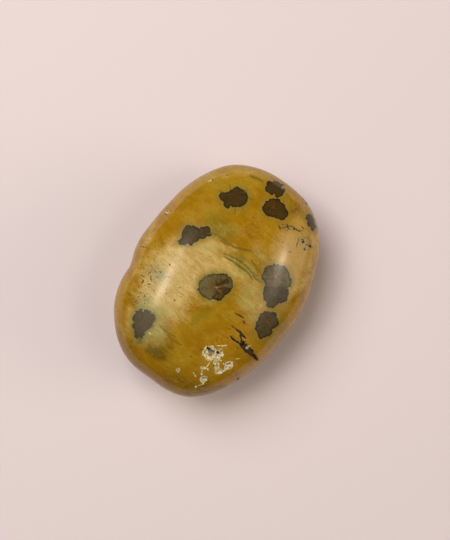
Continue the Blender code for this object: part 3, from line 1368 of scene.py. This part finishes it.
@dataclass(frozen=True)
class PolishedJasper:
    """Yellow jasper under a hand polish, with cream zones, dark orbs, veins and open pits, and some painted
    shade and a painted rim reflection.
    """

    mustard: Colour = (0.355, 0.183, 0.006)
    deep_mustard: Colour = (0.265, 0.126, 0.002)
    bright_mustard: Colour = (0.41, 0.22, 0.014)
    # Umber for the jasper's darker patches and for the painted shade at the bottom rim and lower-left end.
    umber_and_shade: Colour = (0.1, 0.044, 0.001)
    orange: Colour = (0.37, 0.165, 0.004)
    olive: Colour = (0.37, 0.215, 0.012)
    cream: Colour = (0.57, 0.39, 0.13)
    cream_low: Colour = (0.44, 0.28, 0.06)
    tan: Colour = (0.42, 0.23, 0.035)
    green: Colour = (0.66, 0.8, 0.6)
    halo: Colour = (0.24, 0.175, 0.03)
    blue_halo: Colour = (0.15, 0.15, 0.05)
    orb: Colour = (0.042, 0.023, 0.004)
    orb_edge: Colour = (0.02, 0.012, 0.002)
    orb_grey: Colour = (0.14, 0.108, 0.045)
    rust: Colour = (0.085, 0.03, 0.004)
    tawny: Colour = (0.24, 0.13, 0.04)
    core: Colour = (0.36, 0.2, 0.08)
    thread: Colour = (0.56, 0.36, 0.06)
    vein: Colour = (0.13, 0.1, 0.014)
    black: Colour = (0.03, 0.015, 0.003)
    haze: Colour = (0.27, 0.22, 0.1)
    white: Colour = (0.78, 0.66, 0.38)
    pit_tan: Colour = (0.4, 0.28, 0.08)
    pit_grey: Colour = (0.13, 0.1, 0.05)
    pit_pale: Colour = (0.4, 0.33, 0.25)
    # Painted shade for the deepest holes of the pits.
    pit_deep_shade: Colour = (0.06, 0.048, 0.025)
    stain: Colour = (0.1, 0.05, 0.012)
    polish: float = 0.08
    scuffs: float = 0.04
    rough: float = 0.62
    waviness: float = 0.12
    bump_strength: float = 0.6
    bump_mm: float = 0.15
    speck_layers: tuple[tuple[float, float, float], ...] = ((0.36, 0.5, 0.0), (0.62, 0.45, 0.012))
    grain_turn_deg: float = -6.7

    def material(self) -> bpy.types.Material:
        """Builds the material.

        Returns:
            The finished material.
        """
        made, sheet, shader = new_material("polished_jasper")
        where = sheet.place_mm()
        fibre = sheet.grain(where, (0.9, 3.4, 2.0), 3.0, self.grain_turn_deg)
        fine = sheet.grain(where, (0.35, 0.7, 0.5), 4.0, self.grain_turn_deg)
        cloud = sheet.grain(where, (3.4, 4.6, 4.0), 4.0)
        wisps = sheet.grain(where, (0.22, 2.2, 1.2), 2.0, self.grain_turn_deg).step(0.54, 0.68)
        colour = self.ground(sheet, fibre, fine, cloud, wisps)
        colour = self.with_threads(sheet, where, cloud, colour)
        colour = self.with_specks(sheet, where, fine, colour)
        colour = self.with_orbs(sheet, where, fine, colour)
        colour = self.with_lines(sheet, fine, colour)
        colour, open_share = self.with_pits(sheet, where, fine, colour)

        roughness = self.polish + fine * self.scuffs + open_share * (self.rough - self.polish)
        height = open_share * fine + cloud * self.waviness
        relief = {"Strength": self.bump_strength, "Distance": self.bump_mm * MM, "Height": height}
        bump = sheet.node("ShaderNodeBump", feeds=relief)
        sheet.fill(shader, {"Base Color": colour, "Roughness": roughness, "Normal": bump, "IOR": QUARTZ_IOR})
        return made

    def ground(self, sheet: NodeSheet, fibre: Signal, fine: Signal, cloud: Signal, wisps: Signal) -> Signal:
        """The mustard ground, its soft zones and its dark wisps, with painted shade at the bottom rim and
        lower-left end and a painted reflection inside the upper-left rim.

        Args:
            sheet: The tree.
            fibre: Streaky noise along the grain.
            fine: Fine noise.
            cloud: Broad noise.
            wisps: Where thin dark wisps may show.

        Returns:
            The colour.
        """
        shade = (cloud * 0.75 + fibre * 0.25).step(0.38, 0.56)
        colour = sheet.blend(shade * 0.7 + 0.3, self.deep_mustard, self.mustard)
        colour = sheet.blend((fibre * 0.5 + fine * 0.5).step(0.5, 0.66) * 0.5, colour, self.bright_mustard)
        ragged = (fibre - 0.5) * 0.08 + (cloud - 0.5) * 1.0 + (fine - 0.5) * 0.5
        colour = sheet.blend(self.zone(sheet, Tint.OLIVE, ragged), colour, self.olive)
        colour = sheet.blend(self.zone(sheet, Tint.ORANGE, ragged) * 0.7, colour, self.orange)
        # Umber darkening: the jasper's own darker patches, and painted shade at the bottom rim and lower-left
        # end.
        umber_and_shade_share = self.zone(sheet, Tint.UMBER_AND_SHADE, ragged * 1.8) * (fibre.step(0.36, 0.62) * 0.3 + 0.4)
        colour = sheet.blend(umber_and_shade_share, colour, self.umber_and_shade)
        cream_share = (cloud * 0.4 + fibre * 0.3 + fine * 0.3).step(0.4, 0.58)
        cream = sheet.blend(cream_share, self.cream_low, self.cream)
        cream = sheet.blend(self.zone(sheet, Tint.TAN, ragged * 0.5) * 0.8, cream, self.tan)
        # Cream zones, including the painted reflection inside the upper-left rim.
        colour = sheet.blend(self.zone(sheet, Tint.CREAM_AND_REFLECTION, ragged), colour, cream)
        colour = sheet.blend(self.zone(sheet, Tint.GREEN, ragged * 1.4) * 0.9, colour, self.green, "MULTIPLY")
        return sheet.blend(wisps * cloud.step(0.38, 0.6) * 0.5, colour, self.vein)

    def with_threads(self, sheet: NodeSheet, where: Signal, cloud: Signal, under: Signal) -> Signal:
        """Adds short crooked threads that are a little paler than the ground.

        Args:
            sheet: The tree.
            where: The place, in millimetres.
            cloud: Broad noise.
            under: The colour so far.

        Returns:
            The colour.
        """
        crooked = sheet.grain(where, (1.3, 1.3, 1.3), 3.0)
        thread = abs(crooked - 0.5).step(0.016, 0.004) * cloud.step(0.46, 0.56)
        return sheet.blend(thread * 0.4, under, self.thread)

    @staticmethod
    def zone(sheet: NodeSheet, tint: Tint, ragged: Signal) -> Signal:
        """A tint's share, with its edge roughened.

        Args:
            sheet: The tree.
            tint: The tint.
            ragged: Noise about 0 that pushes the edge in and out.

        Returns:
            A share from 0 to 1.
        """
        strength = sheet.attribute(tint.value)
        return (strength + ragged * strength.step(0.0, 0.3)).step(0.12, 0.9)

    def with_specks(self, sheet: NodeSheet, where: Signal, fine: Signal, under: Signal) -> Signal:
        """Adds dark pinpricks in a grey haze where the specks attribute is strong.

        Args:
            sheet: The tree.
            where: The place, in millimetres.
            fine: Fine noise.
            under: The colour so far.

        Returns:
            The colour.
        """
        crowd = sheet.attribute(Tint.SPECKS.value)
        colour = sheet.blend(crowd * (fine * 1.2 - 0.1), under, self.haze)
        for cell, common, rare in self.speck_layers:
            dot = (sheet.cells(where, cell) + (fine - 0.5) * 0.5).step(0.4, 0.24)
            chance = sheet.axes(sheet.cells(where, cell, "Color"))[0]
            wanted = sheet.math("LESS_THAN", chance, crowd * common + rare)
            colour = sheet.blend(dot * wanted * 0.75, colour, self.orb)
        return colour

    def with_orbs(self, sheet: NodeSheet, where: Signal, fine: Signal, under: Signal) -> Signal:
        """Adds the dark orbs, each with a scalloped edge, a dark rim, a pale halo and a rusty core.

        Args:
            sheet: The tree.
            where: The place, in millimetres.
            fine: Fine noise.
            under: The colour so far.

        Returns:
            The colour.
        """
        rust, pallor, blue = sheet.axes(sheet.attribute("orb_minerals", "Vector"))
        scallops = (sheet.cells(where, 1.7) - 0.55) * 0.8 + (sheet.cells(where, 0.75) - 0.5) * 0.45
        gap = sheet.attribute("orb_gap")
        edge = gap + scallops + (fine - 0.5) * 0.45
        from_core = sheet.attribute("orb_core", "Vector")
        core_x, core_y, seed = sheet.axes(from_core)
        flat = sheet.node("ShaderNodeCombineXYZ", feeds={"X": core_x, "Y": core_y})
        away = sheet.vector("LENGTH", "Value", flat)
        heading = sheet.vector("NORMALIZE", "Vector", flat)
        heading_x, heading_y, _ = sheet.axes(heading)
        parts = {"X": heading_x * 1.1 + seed, "Y": heading_y * 1.1, "Z": away * 0.3}
        rays = sheet.grain(sheet.node("ShaderNodeCombineXYZ", feeds=parts), (0.6, 0.6, 0.6), 3.0)

        halo = sheet.blend(blue * 0.8, self.halo, self.blue_halo)
        halo_share = gap.step(1.7, 0.1) * (fine * 1.2 + 0.1)
        colour = sheet.blend(halo_share * 0.75, under, halo)
        starred = sheet.attribute("orb_rays")
        mottled = fine.step(0.4, 0.64) * 0.16
        sectors = rays.step(0.42, 0.64) * starred * 0.75
        greyed = (mottled + sectors + pallor * (fine * 1.1 + 0.15)).clamped()
        body = sheet.blend(greyed, self.orb, self.orb_grey)
        body = sheet.blend(edge.step(-0.65, -0.05) * 0.75, body, self.orb_edge)
        rusty = away.step(3.0, 0.4) * rust * (rays.step(0.3, 0.62) * 0.6 + 0.4)
        body = sheet.blend(rusty * 0.8, body, self.rust)
        tawny = away.step(1.9, 0.5) * starred * rays.step(0.5, 0.62)
        body = sheet.blend(tawny * 0.7, body, self.tawny)
        heart = away.step(0.55, 0.15) * starred * fine.step(0.4, 0.56)
        body = sheet.blend(heart, body, self.core)
        return sheet.blend(edge.step(blue * 0.22 + 0.07, blue * -0.3 - 0.07), colour, body)

    def with_lines(self, sheet: NodeSheet, fine: Signal, under: Signal) -> Signal:
        """Adds the green streaks, the black cracks and the white hairlines.

        Args:
            sheet: The tree.
            fine: Fine noise.
            under: The colour so far.

        Returns:
            The colour.
        """
        roughening = (fine - 0.5) * 0.5
        green = (sheet.attribute(Ink.GREEN.value) + roughening).step(0.4, -0.16)
        colour = sheet.blend(green * 0.85, under, self.vein)
        black = (sheet.attribute(Ink.BLACK.value) + roughening).step(0.1, -0.04)
        colour = sheet.blend(black * 0.9, colour, self.black)
        white = (sheet.attribute(Ink.WHITE.value) + roughening).step(0.1, -0.04)
        return sheet.blend(white * 0.85, colour, self.white)

    def with_pits(
        self, sheet: NodeSheet, where: Signal, fine: Signal, under: Signal
    ) -> tuple[Signal, Signal]:
        """Lines the open pits, with painted shade in their deepest holes.

        Args:
            sheet: The tree.
            where: The place, in millimetres.
            fine: Fine noise.
            under: The colour so far.

        Returns:
            The colour, and the share of the surface that is open and rough.
        """
        roughening = (fine - 0.5) * 0.45
        lumps = sheet.grain(where, (0.8, 0.8, 0.8), 3.0)
        dark = (sheet.attribute(Lining.DARK.value) + roughening).step(0.08, -0.08)
        stained = sheet.blend(fine.step(0.42, 0.62), self.black, self.stain)
        colour = sheet.blend(dark, under, stained)
        druse_gap = sheet.attribute(Lining.DRUSE.value) + roughening
        druse = druse_gap.step(0.12, -0.04)
        depth = sheet.attribute("depth") + roughening * 0.4
        crust = sheet.blend(lumps.step(0.44, 0.56), self.white, self.pit_tan)
        crust = sheet.blend(fine.step(0.5, 0.62) * 0.5, crust, self.pit_grey)
        inside = sheet.blend(lumps.step(0.36, 0.6), self.pit_grey, self.pit_pale)
        lining = sheet.blend(depth.step(0.46, 0.6), crust, inside)
        # Painted shade: the deepest holes of the pits are darkened towards a dark grey-brown.
        lining = sheet.blend(depth.step(0.75, 1.0), lining, self.pit_deep_shade)
        colour = sheet.blend(druse, colour, lining)
        chip = (sheet.attribute(Lining.CHIP.value) + roughening).step(0.1, -0.1)
        chipped = sheet.blend(fine.step(0.5, 0.58), self.stain, self.white)
        colour = sheet.blend(chip * 0.85, colour, chipped)
        return colour, (druse + dark + chip).clamped()


@dataclass(frozen=True)
class MilkyQuartz:
    """The small cloudy quartz crystals that line the open pits."""

    colour: Colour = (0.86, 0.77, 0.54)
    stained: Colour = (0.6, 0.45, 0.2)
    roughness: float = 0.28

    def material(self) -> bpy.types.Material:
        """Builds the material.

        Returns:
            The finished material.
        """
        made, sheet, shader = new_material("milky_quartz")
        stain = sheet.grain(sheet.place_mm(), (1.0, 1.0, 1.0), 2.0).step(0.45, 0.7)
        colour = sheet.blend(stain, self.colour, self.stained)
        sheet.fill(shader, {"Base Color": colour, "Roughness": self.roughness, "IOR": QUARTZ_IOR})
        return made


@dataclass
class DrusyQuartz:
    """The crust of small six-sided crystals in the open pits."""

    spacing: float = 0.00017
    smallest: float = 0.0002
    largest: float = 0.00046
    lean_deg: float = 38.0
    least_depth: float = 0.1
    wall_reach: float = 0.42
    bare_edge: float = 0.05
    crowding: float = 4.0
    sides: int = 6
    prism_radius: float = 0.3
    prism_length: float = 1.0
    tip_length: float = 0.45
    seed: int = 7

    def scatter_tool(self) -> GeometryTool:
        """The tree that grows crystals where the stone's pits are deep enough.

        Returns:
            The tree, whose inputs are the crystals' sizes.
        """
        tool = GeometryTool("drusy_quartz_scatter")
        sheet = tool.sheet
        spacing = tool.inlet("Spacing")
        smallest = tool.inlet("Smallest")
        largest = tool.inlet("Largest")
        lean = tool.inlet("Lean")
        least_depth = tool.inlet("Least Depth")
        wall_reach = tool.inlet("Wall Reach")
        seed = tool.inlet("Seed", "Int")
        material = tool.inlet("Material", "Material")

        druse = tool.attribute(Lining.DRUSE.value)
        off_edge = sheet.math("LESS_THAN", druse, -self.bare_edge)
        near_wall = sheet.math("GREATER_THAN", druse, wall_reach) * off_edge
        open_here = sheet.math("GREATER_THAN", tool.attribute("depth"), least_depth) * near_wall
        scatter = sheet.node(
            "GeometryNodeDistributePointsOnFaces",
            {"distribute_method": "POISSON"},
            {
                "Mesh": tool.geometry(),
                "Distance Min": spacing,
                "Density Max": self.crowding / (spacing * spacing),
                "Density Factor": open_here,
                "Seed": seed,
            },
            "Points",
        )
        outwards = Signal(sheet, scatter.socket.node.outputs["Rotation"])
        crystal = self.crystal(sheet)
        tilt = sheet.node(
            "FunctionNodeRandomValue",
            {"data_type": "FLOAT_VECTOR"},
            {
                "Min": sheet.node("ShaderNodeCombineXYZ", feeds={"X": -lean, "Y": -lean, "Z": -math.pi}),
                "Max": sheet.node("ShaderNodeCombineXYZ", feeds={"X": lean, "Y": lean, "Z": math.pi}),
                "Seed": seed,
            },
        )
        turn = sheet.node("FunctionNodeEulerToRotation", feeds={0: tilt})
        leaning = sheet.node(
            "FunctionNodeRotateRotation",
            {"rotation_space": "LOCAL"},
            {"Rotation": outwards, "Rotate By": turn},
        )
        size = sheet.node(
            "FunctionNodeRandomValue",
            {"data_type": "FLOAT"},
            {"Min_001": smallest, "Max_001": largest, "Seed": seed + 1},
            "Value_001",
        )
        placed = sheet.node(
            "GeometryNodeInstanceOnPoints",
            feeds={"Points": scatter, "Instance": crystal, "Rotation": leaning, "Scale": size},
        )
        tool.close(placed, material)
        return tool

    def crystal(self, sheet: NodeSheet) -> Signal:
        """One crystal of size 1: an open prism with a pointed tip.

        Args:
            sheet: The tree.

        Returns:
            Its mesh, from which every crystal is an instance.
        """
        hollow = {"fill_type": "NONE"}
        prism = {"Vertices": self.sides, "Radius": self.prism_radius, "Depth": self.prism_length}
        body = sheet.node("GeometryNodeMeshCylinder", hollow, prism, "Mesh")
        point = {
            "Vertices": self.sides,
            "Radius Top": 0.0,
            "Radius Bottom": self.prism_radius,
            "Depth": self.tip_length,
        }
        tip = sheet.node("GeometryNodeMeshCone", hollow, point, "Mesh")
        lift = (0, 0, self.prism_length / 2)
        raised = sheet.node("GeometryNodeTransform", feeds={"Geometry": tip, "Translation": lift})
        joined = sheet.node("GeometryNodeJoinGeometry", feeds={0: body})
        sheet.feed(joined.socket.node.inputs[0], raised)
        return joined

    def build(self, stone: bpy.types.Object, material: bpy.types.Material) -> bpy.types.Object:
        """Grows the crystals on the stone.

        Args:
            stone: The finished stone.
            material: The crystals' finish.

        Returns:
            The crust's object.
        """
        values = {
            "Spacing": self.spacing,
            "Smallest": self.smallest,
            "Largest": self.largest,
            "Lean": math.radians(self.lean_deg),
            "Least Depth": self.least_depth,
            "Wall Reach": -self.wall_reach,
            "Seed": self.seed,
            "Material": material,
        }
        return add_object("drusy_quartz", self.scatter_tool().run(stone.data, values, "drusy_quartz"))


@dataclass(frozen=True)
class SoftBox:
    """A lit oval that faces the stone, in metres, and shows in no mirror image.

    Its radiance is 1 where a white sheet would look white.
    """

    name: str
    place: Spot
    height: float
    length: float
    width: float
    turn_deg: float
    radiance: float
    colour: Colour = (1.0, 0.98, 0.95)


@dataclass(frozen=True)
class SoftGlow:
    """A bright oval in the sky that fades evenly. Its half sizes, in radians, reach to a third of it."""

    towards: tuple[float, float, float]
    turn_deg: float
    half_length: float
    half_width: float
    radiance: float

    def brightness(self, sheet: NodeSheet, heading: Signal) -> Signal:
        """How bright it is over the sky.

        Args:
            sheet: The sky's tree.
            heading: The direction looked in.

        Returns:
            Its radiance there.
        """
        middle = Vector(self.towards).normalized()
        along, across = axes_about(middle, self.turn_deg)
        total = 0.0
        for axis, half in ((along, self.half_length), (across, self.half_width)):
            off = sheet.vector("DOT_PRODUCT", "Value", heading, tuple(axis)) / half
            total = total + off * off
        ahead = sheet.vector("DOT_PRODUCT", "Value", heading, tuple(middle)).step(0.0, 0.2)
        return sheet.math("EXPONENT", -total) * ahead * self.radiance


@dataclass(frozen=True)
class SkyBand:
    """A broad bright band of the sky along one side of the stone.

    Each pair says where the band starts at one of its edges, and where it is full. Its two long edges are
    at angles from straight up towards +Y, and its two ends are at x parts of the direction looked in.
    """

    inner: Spot
    outer: Spot
    head: Spot
    foot: Spot
    strength: float = 1.0

    def share(self, angle: Signal, x: Signal) -> Signal:
        """How much of it shows over the sky.

        Args:
            angle: The angle from straight up towards +Y, in degrees.
            x: The x part of the direction.

        Returns:
            0 outside it, and its strength where it is full.
        """
        across = angle.step(*self.inner) * angle.step(*self.outer)
        return across * x.step(*self.head) * x.step(*self.foot) * self.strength


@dataclass(frozen=True)
class Studio:
    """A plain pale floor under a dim sky with soft bright places, and two fill lights that mirror nowhere."""

    floor_half: float = 5.0
    floor_colour: Colour = (0.75, 0.65, 0.685)
    floor_roughness: float = 0.7
    boxes: tuple[SoftBox, ...] = (
        SoftBox("fill", (0.16, 0.5), 0.7, 0.7, 0.7, 0, 4.95),
        SoftBox("rim_fill", (0.5, -0.85), 0.35, 0.6, 0.3, 0, 6.0, (1.0, 0.88, 0.74)),
    )
    glows: tuple[SoftGlow, ...] = (
        SoftGlow((-0.18, 0.535, 0.82), 18, 0.175, 0.064, 6.2),
        SoftGlow((-0.25, 0.58, 0.78), 18, 0.26, 0.15, 1.0),
        SoftGlow((0.362, -0.542, 0.756), 20, 0.1, 0.066, 5.4),
        SoftGlow((0.25, -0.62, 0.74), 28, 0.28, 0.13, 1.5),
    )
    bands: tuple[SkyBand, ...] = (
        SkyBand((2, 18), (60, 48), (0.32, -0.12), (-0.86, -0.62)),
        SkyBand((-16, -34), (-80, -72), (0.75, 0.5), (-0.2, 0.3), 1.1),
    )
    glow_colour: Colour = (1.0, 0.91, 0.76)
    sky_colour: Colour = (1.0, 0.95, 0.76)
    sky_dim: float = 0.03
    sky_bright: float = 1.0

    def build(self) -> None:
        """Sets up the floor, the lights and the sky."""
        self.add_floor()
        for box in self.boxes:
            self.add_box(box)
        self.add_sky()

    def add_floor(self) -> None:
        """A wide plain floor at the level of the stone's flat spot."""
        material, sheet, shader = new_material("pale_floor")
        sheet.fill(shader, {"Base Color": self.floor_colour, "Roughness": self.floor_roughness})
        mesh = bpy.data.meshes.new("floor")
        shape = bmesh.new()
        bmesh.ops.create_grid(shape, x_segments=1, y_segments=1, size=self.floor_half)
        shape.to_mesh(mesh)
        shape.free()
        mesh.materials.append(material)
        floor = add_object("floor", mesh)

    @staticmethod
    def add_box(box: SoftBox) -> None:
        """One soft box, turned to face the origin.

        Args:
            box: Its sizes.
        """
        data = bpy.data.lights.new(box.name, "AREA")
        data.shape = "ELLIPSE"
        data.size = box.length
        data.size_y = box.width
        data.color = box.colour
        data.energy = box.radiance * math.pi * box.length * box.width * math.pi / 4
        light = add_object(box.name, data)
        light.location = (*box.place, box.height)
        away = Vector(light.location).normalized()
        along, across = axes_about(away, box.turn_deg)
        light.rotation_euler = Matrix((along, across, away)).transposed().to_euler()
        light.visible_glossy = False

    def add_sky(self) -> None:
        """A dim sky with its bright bands and glows."""
        world = bpy.data.worlds.new("studio_sky")
        bpy.context.scene.world = world
        world.use_nodes = True
        sheet = NodeSheet(world.node_tree)
        heading = sheet.node("ShaderNodeTexCoord", outlet="Generated")
        x, y, z = sheet.axes(heading)
        angle = sheet.math("DEGREES", sheet.math("ARCTAN2", y, z))
        bright = sum((band.share(angle, x) for band in self.bands), 0.0)
        even = self.sky_dim + bright * (self.sky_bright - self.sky_dim)
        glow = sum((one.brightness(sheet, heading) for one in self.glows), 0.0)
        colour = sheet.vector(
            "ADD",
            "Vector",
            sheet.scaled(self.sky_colour, even),
            sheet.scaled(self.glow_colour, glow),
        )
        sheet.feed(world.node_tree.nodes["Background"].inputs["Color"], colour)
        bpy.context.scene.view_settings.view_transform = "Standard"


def main() -> None:
    """Dresses the palm stone and sets up its studio."""
    logging.basicConfig(level=logging.INFO, format="%(name)s: %(message)s")
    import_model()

    view = PhotoView()
    design = PalmStone()
    stone = design.build(view, PolishedJasper().material())
    LOG.info("%s has %d triangles", stone.name, len(stone.data.polygons))
    crust = DrusyQuartz().build(stone, MilkyQuartz().material())
    LOG.info("%s has %d faces", crust.name, len(crust.data.polygons))
    for piece in (stone, crust):
        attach(piece, "root")
    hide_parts("palm_stone")

    Studio().build()
    view.add_camera(design.middle(stone))


if __name__ == "__main__":
    main()
